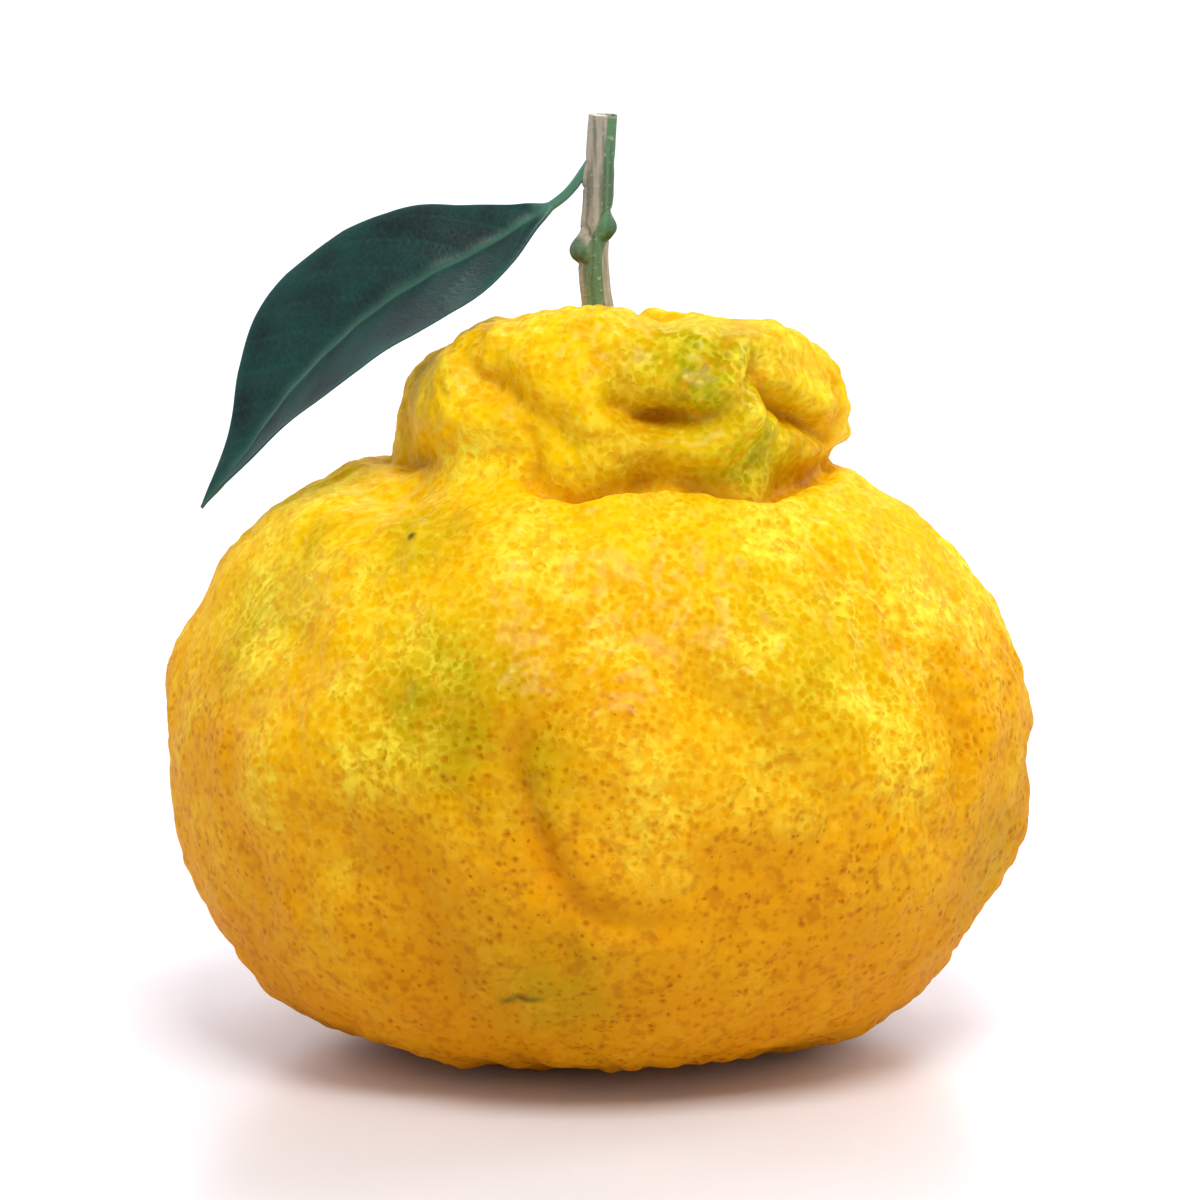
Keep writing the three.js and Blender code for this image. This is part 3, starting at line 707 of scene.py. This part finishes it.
def twig_material(props):
    """Young citrus bark: matt green skin that splits lengthwise into grey-brown streaks,
    with a pale wood cut at the top. The grey on the upper left front is partly a painted highlight stripe."""
    material, tree = new_material("young_ribbed_bark")
    place = add(tree, "ShaderNodeTexCoord", out="Object")
    cut = add(tree, "ShaderNodeAttribute", {"attribute_name": "cut"}, None, "Fac")
    bud = add(tree, "ShaderNodeAttribute", {"attribute_name": "bud"}, None, "Fac")
    stretched = add(tree, "ShaderNodeVectorMath", PRODUCT, {0: place, 1: (1, 1, 0.09)})
    streaks = add(tree, "ShaderNodeTexNoise", None, {"Vector": stretched, "Scale": 900, "Detail": 4}, "Fac")
    bands = add(tree, "ShaderNodeTexNoise", None, {"Vector": stretched, "Scale": 380, "Detail": 1}, "Fac")
    flecks = add(tree, "ShaderNodeTexNoise", None, {"Vector": place, "Scale": 1500, "Detail": 3}, "Fac")
    stripe = add(tree, "ShaderNodeAttribute", {"attribute_name": "stripe"}, None, "Fac")
    # grey bark bands, kept off the green side; on the upper left front they also paint a pale highlight
    # stripe
    greyness = add(tree, "ShaderNodeMath", PRODUCT_PLUS, {0: stripe, 1: -0.24, 2: bands})
    grey = add(tree, "ShaderNodeMapRange", SOFT_STEP,
               {"Value": greyness, "From Min": 0.27, "From Max": 0.45, "To Max": 0.95})
    colour = add(tree, "ShaderNodeMix", COLOUR_MIX,
                 {0: grey, 6: props.twig_green, 7: props.twig_grey_and_highlight}, 2)
    dark = add(tree, "ShaderNodeMapRange", SOFT_STEP,
               {"Value": streaks, "From Min": 0.47, "From Max": 0.66, "To Max": 0.65})
    colour = add(tree, "ShaderNodeMix", COLOUR_MIX, {0: dark, 6: colour, 7: linear("4A5240")}, 2)
    pale = add(tree, "ShaderNodeMapRange", SOFT_STEP,
               {"Value": flecks, "From Min": 0.58, "From Max": 0.75, "To Max": 0.5})
    colour = add(tree, "ShaderNodeMix", COLOUR_MIX, {0: pale, 6: colour, 7: linear("C9C2AC")}, 2)
    bud_share = add(tree, "ShaderNodeMapRange", SOFT_STEP,
                    {"Value": bud, "From Min": 0.12, "From Max": 0.7, "To Max": 0.85})
    colour = add(tree, "ShaderNodeMix", COLOUR_MIX, {0: bud_share, 6: colour, 7: linear("41694A")}, 2)
    tip = add(tree, "ShaderNodeAttribute", {"attribute_name": "tip"}, None, "Fac")
    tip_share = add(tree, "ShaderNodeMath", PRODUCT, {0: tip, 1: 0.85})
    colour = add(tree, "ShaderNodeMix", COLOUR_MIX, {0: tip_share, 6: colour, 7: linear("2C3524")}, 2)
    colour = add(tree, "ShaderNodeMix", COLOUR_MIX, {0: cut, 6: colour, 7: linear("CFCBB0")}, 2)
    height = add(tree, "ShaderNodeMath", {"operation": "ADD"}, {0: streaks, 1: flecks})
    bump = add(tree, "ShaderNodeBump", None, {"Strength": 0.8, "Distance": 0.00022, "Height": height})
    finish_material(tree, {"Base Color": colour, "Roughness": 0.6, "Normal": bump, "IOR": 1.45})
    return material


# ---------- leaf ----------
# Middle line of stalk and blade, as shares of the leaf's box.
LEAF_LINE = [
    (1.03, 0.745, 1.04), (0.965, 0.733, 0.94), (0.873, 0.711, 0.867),
    (0.74, 0.67, 0.775), (0.6, 0.629, 0.694), (0.457, 0.597, 0.587),
    (0.324, 0.572, 0.45), (0.22, 0.556, 0.317), (0.12, 0.523, 0.159),
    (0.006, 0.474, 0.002),
]
# Half width of the blade as a share of its widest, at shares of its length.
BLADE_WIDTHS = [(0, 0.05), (0.06, 0.2), (0.14, 0.48), (0.26, 0.82), (0.4, 1), (0.53, 1), (0.63, 0.88),
                (0.72, 0.62), (0.8, 0.38), (0.9, 0.18), (1, 0.01)]
LEAF_RINGS = 300
LEAF_ACROSS = 96  # points round a cross-section
VEIN_SPACING = 6.6  # along the midrib, in millimetres
BLADE_HALF_THICKNESS = 0.24


def blade_profile(share):
    """Half width of the blade, as a share of its widest, without kinks."""
    line = spline([(place, width, 0) for place, width in BLADE_WIDTHS], 400)
    return np.clip(np.interp(share, line[:, 0], line[:, 1]), 0, 1)


def vein_mask(along, across, spacing):
    """1 on a side vein, 0 away from it. Side veins leave the midrib at a slant and curve
    towards the tip before they reach the edge."""
    bent = along - 0.75 * np.abs(across) - 0.028 * across ** 2
    phase = bent / spacing + np.where(across > 0, 0.0, 0.45)
    off = np.abs(phase - np.round(phase)) * spacing
    return np.exp(-(off / 0.26) ** 2)


def build_leaf(props):
    """The stalk runs into a folded, slightly wavy blade with a sunken midrib, faint side
    veins and a long drawn-out tip."""
    line = spline(in_box("leaf", LEAF_LINE), LEAF_RINGS)
    tangent = np.gradient(line, axis=0)
    tangent /= np.linalg.norm(tangent, axis=1)[:, None]
    across = np.cross(np.array([0.0, 1.0, 0.0]), tangent)
    across /= np.linalg.norm(across, axis=1)[:, None]
    back = np.cross(tangent, across)
    length = np.linalg.norm(np.diff(line, axis=0), axis=1).sum()
    blade = props.blade_length / MM
    along = np.linspace(0, length, LEAF_RINGS)
    share = np.clip((along - (length - blade)) / blade, 0, 1)
    on_blade = smooth(0, 0.05, share)
    stalk = props.stalk_radius / MM
    blade_width = props.blade_half_width / MM * blade_profile(share)
    width = np.maximum(blade_width, stalk * (1 - smooth(0.3, 0.9, share)))
    thick = stalk + (BLADE_HALF_THICKNESS - stalk) * on_blade
    thick *= 1 - 0.5 * smooth(0.93, 1, share)
    roll = 52 + 10 * share
    fold = (14 + 10 * share) * on_blade
    turn = np.linspace(0, 2 * math.pi, LEAF_ACROSS, endpoint=False)
    u = np.cos(turn)[None, :]
    top = np.where(np.sin(turn) >= 0, 1.0, -1.0)[None, :]
    round_edge = np.sqrt(np.maximum(0, 1 - u ** 2))
    upper_angle = np.radians(roll - fold)[:, None]
    lower_angle = np.radians(roll + fold)[:, None]
    angle = np.where(u >= 0, upper_angle, lower_angle)
    side = across[:, None, :] * np.cos(angle)[..., None] + back[:, None, :] * np.sin(angle)[..., None]
    face_angle = np.radians(roll - 90)[:, None, None]
    face = across[:, None, :] * np.cos(face_angle) + back[:, None, :] * np.sin(face_angle)
    on = on_blade[:, None]
    distance = width[:, None] * np.abs(u)
    edge = np.abs(u) ** 4
    half = thick[:, None] * ((1 - on) * round_edge + on * round_edge ** 0.3)
    drop = -0.05 * on * distance * np.abs(u)
    ripple = np.sin(along[:, None] / 7.5 + np.where(u > 0, 0.6, 2.4))
    wave = 0.55 * on * edge * ripple * smooth(0, 0.3, 1 - share)[:, None]
    veins = vein_mask(along[:, None] - (length - blade), u * width[:, None], VEIN_SPACING)
    veins = veins * on * (1 - np.abs(u) ** 6)
    veins *= smooth(0.06, 0.14, np.abs(u)) * (1 - smooth(0.84, 0.95, share))[:, None]
    rib = np.exp(-(distance / 0.75) ** 2) * on * (1 - 0.5 * share[:, None])
    swell = np.cos(2 * math.pi * (along[:, None] - 0.75 * distance) / VEIN_SPACING)
    quilt = 0.16 * on * (1 - np.abs(u) ** 2) * swell
    sunk = np.where(top > 0, -0.28 * rib - 0.07 * veins, -0.62 * rib - 0.1 * veins)
    lift = top * half + drop + wave + quilt * 0.5 + sunk
    rings = line[:, None, :] + side * (width[:, None] * u)[..., None] + face * lift[..., None]
    attributes = {
        "vein": np.append(veins.reshape(-1), [0, 0]),
        "rib": np.append(rib.reshape(-1), [0, 0]),
        "stalk": np.append(np.broadcast_to(1 - on, veins.shape).reshape(-1), [1, 0]),
        "margin": np.append((np.abs(u) ** 14 * on).reshape(-1), [0, 1]),
        "under": np.append(np.broadcast_to((top < 0) * on, veins.shape).reshape(-1), [0, 0]),
    }
    flipped = [face[::-1] for face in loft_faces(LEAF_RINGS, LEAF_ACROSS)]
    return capped(rings), flipped, attributes


def leaf_material(props):
    """Waxy citrus leaf: dark blue-green and glossy above, with yellow-green ribs,
    and paler and matter below."""
    material, tree = new_material("waxy_leaf_blade")
    place = add(tree, "ShaderNodeTexCoord", out="Object")
    layers = {}
    for name in ("vein", "rib", "stalk", "margin", "under"):
        layers[name] = add(tree, "ShaderNodeAttribute", {"attribute_name": name}, None, "Fac")
    clouds = add(tree, "ShaderNodeTexNoise", None, {"Vector": place, "Scale": 110, "Detail": 3}, "Fac")
    net = add(tree, "ShaderNodeTexVoronoi", {"feature": "DISTANCE_TO_EDGE"},
              {"Vector": place, "Scale": 900}, "Distance")
    cloud_share = add(tree, "ShaderNodeMapRange", None, {"Value": clouds, "From Min": 0.35, "From Max": 0.7})
    colour = add(tree, "ShaderNodeMix", COLOUR_MIX,
                 {0: cloud_share, 6: props.leaf_dark, 7: props.leaf_colour}, 2)
    net_share = add(tree, "ShaderNodeMapRange", None,
                    {"Value": net, "From Min": 0.0, "From Max": 0.1, "To Min": 0.12, "To Max": 0})
    colour = add(tree, "ShaderNodeMix", COLOUR_MIX, {0: net_share, 6: colour, 7: props.vein_colour}, 2)
    vein_share = add(tree, "ShaderNodeMath", PRODUCT, {0: layers["vein"], 1: 0.16})
    colour = add(tree, "ShaderNodeMix", COLOUR_MIX, {0: vein_share, 6: colour, 7: props.vein_colour}, 2)
    under_share = add(tree, "ShaderNodeMath", PRODUCT, {0: layers["under"], 1: 0.6})
    colour = add(tree, "ShaderNodeMix", COLOUR_MIX, {0: under_share, 6: colour, 7: linear("5E8A62")}, 2)
    rib_share = add(tree, "ShaderNodeMath", PRODUCT, {0: layers["rib"], 1: 0.65})
    colour = add(tree, "ShaderNodeMix", COLOUR_MIX, {0: rib_share, 6: colour, 7: props.rib_colour}, 2)
    margin_share = add(tree, "ShaderNodeMath", PRODUCT, {0: layers["margin"], 1: 0.35})
    colour = add(tree, "ShaderNodeMix", COLOUR_MIX,
                 {0: margin_share, 6: colour, 7: props.vein_colour}, 2)
    colour = add(tree, "ShaderNodeMix", COLOUR_MIX,
                 {0: layers["stalk"], 6: colour, 7: props.rib_colour}, 2)
    roughness = add(tree, "ShaderNodeMapRange", None,
                    {"Value": layers["under"], "To Min": 0.42, "To Max": 0.6})
    grain = add(tree, "ShaderNodeTexNoise", None, {"Vector": place, "Scale": 1800, "Detail": 2}, "Fac")
    relief = add(tree, "ShaderNodeMath", PRODUCT_PLUS, {0: net, 1: 0.6, 2: grain})
    bump = add(tree, "ShaderNodeBump", None, {"Strength": 0.45, "Distance": 0.00012, "Height": relief})
    finish_material(tree, {
        "Base Color": colour, "Roughness": roughness, "Normal": bump, "IOR": 1.45,
        "Specular IOR Level": 0.35, "Coat Weight": 0.08, "Coat Roughness": 0.35,
    })
    return material


# ---------- stage ----------
def build_floor(props):
    """A pale sheet that runs level under the fruit and bends up into a backdrop."""
    half, level_end, bend, top = 3.0, 1.4, 0.9, 4.0
    profile = [(-half, 0.0), (level_end, 0.0)]
    for turn in np.linspace(0.05, math.pi / 2, 24):
        profile.append((level_end + bend * math.sin(turn), bend * (1 - math.cos(turn))))
    profile.append((level_end + bend, top))
    points = [(x, y, z) for y, z in profile for x in (-half, half)]
    faces = [(2 * i, 2 * i + 1, 2 * i + 3, 2 * i + 2) for i in range(len(profile) - 1)]
    material, tree = new_material("pale_satin_sheet")
    place = add(tree, "ShaderNodeTexCoord", out="Object")
    haze = add(tree, "ShaderNodeTexNoise", None, {"Vector": place, "Scale": 3, "Detail": 2}, "Fac")
    roughness = add(tree, "ShaderNodeMapRange", None, {"Value": haze, "To Min": 0.2, "To Max": 0.3})
    finish_material(tree, {"Base Color": props.floor_colour, "Roughness": roughness, "IOR": 1.45})
    floor = new_piece("floor", np.array(points) / MM, faces, material)


def add_light(name, place, aim, size, power, colour):
    light = bpy.data.lights.new(name, "AREA")
    light.shape = "RECTANGLE"
    light.size, light.size_y = size
    light.energy = power
    light.color = linear(colour)[:3]
    lamp = bpy.data.objects.new(name, light)
    lamp.location = place
    lamp.rotation_euler = (Vector(aim) - Vector(place)).to_track_quat("-Z", "Y").to_euler()
    bpy.context.scene.collection.objects.link(lamp)


def add_camera(props):
    low, high = CAD_BOX
    aim = Vector((0.5 * (low[0] + high[0]), 0, props.aim_height))
    camera = bpy.data.cameras.new("camera")
    camera.sensor_width = 36
    camera.lens = 36 * props.camera_distance / props.frame_width
    camera.clip_end = 20
    eye = bpy.data.objects.new("camera", camera)
    tilt = props.camera_elevation
    eye.location = aim + props.camera_distance * Vector((0, -math.cos(tilt), math.sin(tilt)))
    eye.rotation_euler = (aim - eye.location).to_track_quat("-Z", "Y").to_euler()
    bpy.context.scene.collection.objects.link(eye)
    bpy.context.scene.camera = eye


def set_world(props):
    world = bpy.data.worlds.new("studio")
    world.use_nodes = True
    sky = world.node_tree.nodes["Background"]
    sky.inputs["Color"].default_value = linear("FFFFFF")
    sky.inputs["Strength"].default_value = props.sky_strength
    scene = bpy.context.scene
    scene.world = world
    scene.view_settings.view_transform = "Standard"
    scene.view_settings.look = "None"


# ---------- settings ----------
def colour_property(name, description, hex_colour):
    return FloatVectorProperty(name=name, description=description, subtype="COLOR", size=4,
                               min=0, max=1, default=linear(hex_colour))


class TangeloRindSettings(bpy.types.PropertyGroup):
    lump_height: FloatProperty(
        name="Lump Height", description="How far the lumps of the rind stand out",
        default=1.0 * MM, min=0, max=3 * MM, unit="LENGTH", precision=4)
    gland_spacing: FloatProperty(
        name="Gland Spacing", description="Distance between neighbouring oil glands",
        default=1.15 * MM, min=0.5 * MM, max=4 * MM, unit="LENGTH", precision=4)
    top_colour: colour_property("Top Colour", "Rind of the neck and the shoulder", "FDC800")
    middle_colour: colour_property("Middle Colour", "Rind round the waist", "EDA400")
    # deeper orange low down: partly the rind's own colour and partly painted shade of the lower half
    low_colour_and_shade: colour_property("Low Colour", "Rind near the flat spot", "DC8E00")
    mottle_colour: colour_property("Mottle Colour", "Warmer clouds in the rind", "E08E00")
    green_colour: colour_property("Green Colour", "Rind that ripened last", "8E9A00")
    # painted highlights on the rims round the glands
    ring_highlight_colour: colour_property("Ring Colour", "Pale rings round the glands", "FFE640")
    pit_colour: colour_property("Pit Colour", "Glands on the lower half", "B45A00")
    gland_colour: colour_property("Gland Colour", "Glands on the upper half", "E29000")
    # painted shade deep in the folds
    fold_shade_colour: colour_property("Fold Colour", "Rind deep in the folds", "B86000")


class TangeloGreenSettings(bpy.types.PropertyGroup):
    twig_radius: FloatProperty(
        name="Twig Radius", description="Radius of the twig between its buds",
        default=2.08 * MM, min=1 * MM, max=4 * MM, unit="LENGTH", precision=4)
    stalk_radius: FloatProperty(
        name="Stalk Radius", description="Radius of the leaf's stalk",
        default=0.58 * MM, min=0.4 * MM, max=2 * MM, unit="LENGTH", precision=4)
    blade_length: FloatProperty(
        name="Blade Length", description="Length of the leaf's blade along its midrib",
        default=65 * MM, min=30 * MM, max=100 * MM, unit="LENGTH", precision=4)
    blade_half_width: FloatProperty(
        name="Blade Half Width", description="From the midrib to the edge where the blade is widest",
        default=15 * MM, min=5 * MM, max=30 * MM, unit="LENGTH", precision=4)
    calyx_colour: colour_property("Calyx Colour", "Green of the calyx", "5F7A3A")
    twig_green: colour_property("Twig Green", "Skin of the twig", "56805C")
    # grey bark, and partly a painted highlight stripe on the upper left front
    twig_grey_and_highlight: colour_property("Twig Grey", "Bark streaks of the twig", "ADA496")
    leaf_dark: colour_property("Leaf Dark", "Darker clouds of the leaf's upper face", "021C1D")
    leaf_colour: colour_property("Leaf Colour", "Upper face of the leaf", "0A3E38")
    vein_colour: colour_property("Vein Colour", "Side veins and the fine net between them", "2E6A60")
    rib_colour: colour_property("Rib Colour", "Midrib and stalk", "4A7A66")


class TangeloStageSettings(bpy.types.PropertyGroup):
    camera_elevation: FloatProperty(
        name="Camera Elevation", description="How far the camera looks down",
        default=math.radians(10), min=-1.5, max=1.5, subtype="ANGLE")
    camera_distance: FloatProperty(
        name="Camera Distance", description="From the camera to the point it looks at",
        default=0.9, min=0.2, max=5, unit="LENGTH")
    frame_width: FloatProperty(
        name="Frame Width", description="Width of the view at that point",
        default=0.168, min=0.05, max=2, unit="LENGTH")
    aim_height: FloatProperty(
        name="Aim Height", description="Height of the point that the camera looks at",
        default=0.062, min=0, max=1, unit="LENGTH")
    sky_strength: FloatProperty(
        name="Sky Strength", description="Strength of the white light from all round",
        default=0.36, min=0, max=5)
    floor_colour: colour_property("Floor Colour", "The sheet that the fruit stands on", "F1F2FA")


# ---------- operators ----------
class TANGELO_OT_rind(bpy.types.Operator):
    """Make the whole fruit's rind, with its lobes, folds and oil glands"""
    bl_idname = "tangelo.rind"
    bl_label = "Make Rind"

    def execute(self, context):
        props = context.scene.tangelo_rind
        points, faces, attributes, speck = build_rind(props)
        piece = new_piece("rind", points, faces, rind_material(props, speck), attributes)
        join_frame(piece, "fruit")
        return {"FINISHED"}


class TANGELO_OT_calyx(bpy.types.Operator):
    """Make the calyx in the hollow of the neck"""
    bl_idname = "tangelo.calyx"
    bl_label = "Make Calyx"

    def execute(self, context):
        props = context.scene.tangelo_green
        points, faces, attributes = build_calyx()
        piece = new_piece("calyx_button", points, faces, calyx_material(props), attributes)
        join_frame(piece, "calyx")
        return {"FINISHED"}


class TANGELO_OT_twig(bpy.types.Operator):
    """Make the ribbed twig with its buds and its cut end"""
    bl_idname = "tangelo.twig"
    bl_label = "Make Twig"

    def execute(self, context):
        props = context.scene.tangelo_green
        points, faces, attributes = build_twig(props)
        piece = new_piece("cut_twig", points, faces, twig_material(props), attributes)
        join_frame(piece, "twig")
        return {"FINISHED"}


class TANGELO_OT_leaf(bpy.types.Operator):
    """Make the folded leaf on its stalk"""
    bl_idname = "tangelo.leaf"
    bl_label = "Make Leaf"

    def execute(self, context):
        props = context.scene.tangelo_green
        points, faces, attributes = build_leaf(props)
        piece = new_piece("leaf_blade", points, faces, leaf_material(props), attributes)
        join_frame(piece, "leaf")
        return {"FINISHED"}


class TANGELO_OT_stage(bpy.types.Operator):
    """Make the floor, the lights and the camera"""
    bl_idname = "tangelo.stage"
    bl_label = "Make Stage"

    def execute(self, context):
        props = context.scene.tangelo_stage
        middle = (0, 0, 0.06)
        build_floor(props)
        add_light("key", (0.1, -0.5, 1.0), middle, (0.45, 0.45), 8.2, "FFFDF8")
        add_light("crest", (0.15, 0.7, 0.8), middle, (0.8, 0.2), 3.5, "FFFFFF")
        add_light("left_rim", (-0.75, 0.3, 0.3), middle, (0.25, 0.7), 1.6, "FFF4F2")
        add_light("right_rim", (0.7, 0.35, 0.5), middle, (0.25, 0.6), 2, "FFFFFF")
        add_light("fill", (0.5, -1.0, 0.25), middle, (0.8, 0.8), 1.6, "FFFFFF")
        add_light("backdrop", (0, 1.2, 1.6), (0, 2.2, 0.8), (2.5, 1.0), 30, "FFFFFF")
        set_world(props)
        add_camera(props)
        return {"FINISHED"}


class TANGELO_PT_sidebar(bpy.types.Panel):
    bl_label = "Tangelo"
    bl_idname = "TANGELO_PT_sidebar"
    bl_space_type = "VIEW_3D"
    bl_region_type = "UI"
    bl_category = "Tangelo"

    def draw(self, context):
        groups = [
            (context.scene.tangelo_rind, (TANGELO_OT_rind,)),
            (context.scene.tangelo_green, (TANGELO_OT_calyx, TANGELO_OT_twig, TANGELO_OT_leaf)),
            (context.scene.tangelo_stage, (TANGELO_OT_stage,)),
        ]
        for settings, operators in groups:
            column = self.layout.column(align=True)
            for name in settings.__annotations__:
                column.prop(settings, name)
            for operator in operators:
                column.operator(operator.bl_idname)


CLASSES = (
    TangeloRindSettings, TangeloGreenSettings, TangeloStageSettings,
    TANGELO_OT_rind, TANGELO_OT_calyx, TANGELO_OT_twig, TANGELO_OT_leaf, TANGELO_OT_stage,
    TANGELO_PT_sidebar,
)


def register():
    for cls in CLASSES:
        bpy.utils.register_class(cls)
    bpy.types.Scene.tangelo_rind = PointerProperty(type=TangeloRindSettings)
    bpy.types.Scene.tangelo_green = PointerProperty(type=TangeloGreenSettings)
    bpy.types.Scene.tangelo_stage = PointerProperty(type=TangeloStageSettings)


def unregister():
    del bpy.types.Scene.tangelo_stage
    del bpy.types.Scene.tangelo_green
    del bpy.types.Scene.tangelo_rind
    for cls in reversed(CLASSES):
        bpy.utils.unregister_class(cls)


def main():
    register()
    bpy.ops.tangelo.stage()
    bpy.ops.tangelo.rind()
    bpy.ops.tangelo.calyx()
    bpy.ops.tangelo.twig()
    bpy.ops.tangelo.leaf()


if __name__ == "__main__":
    main()
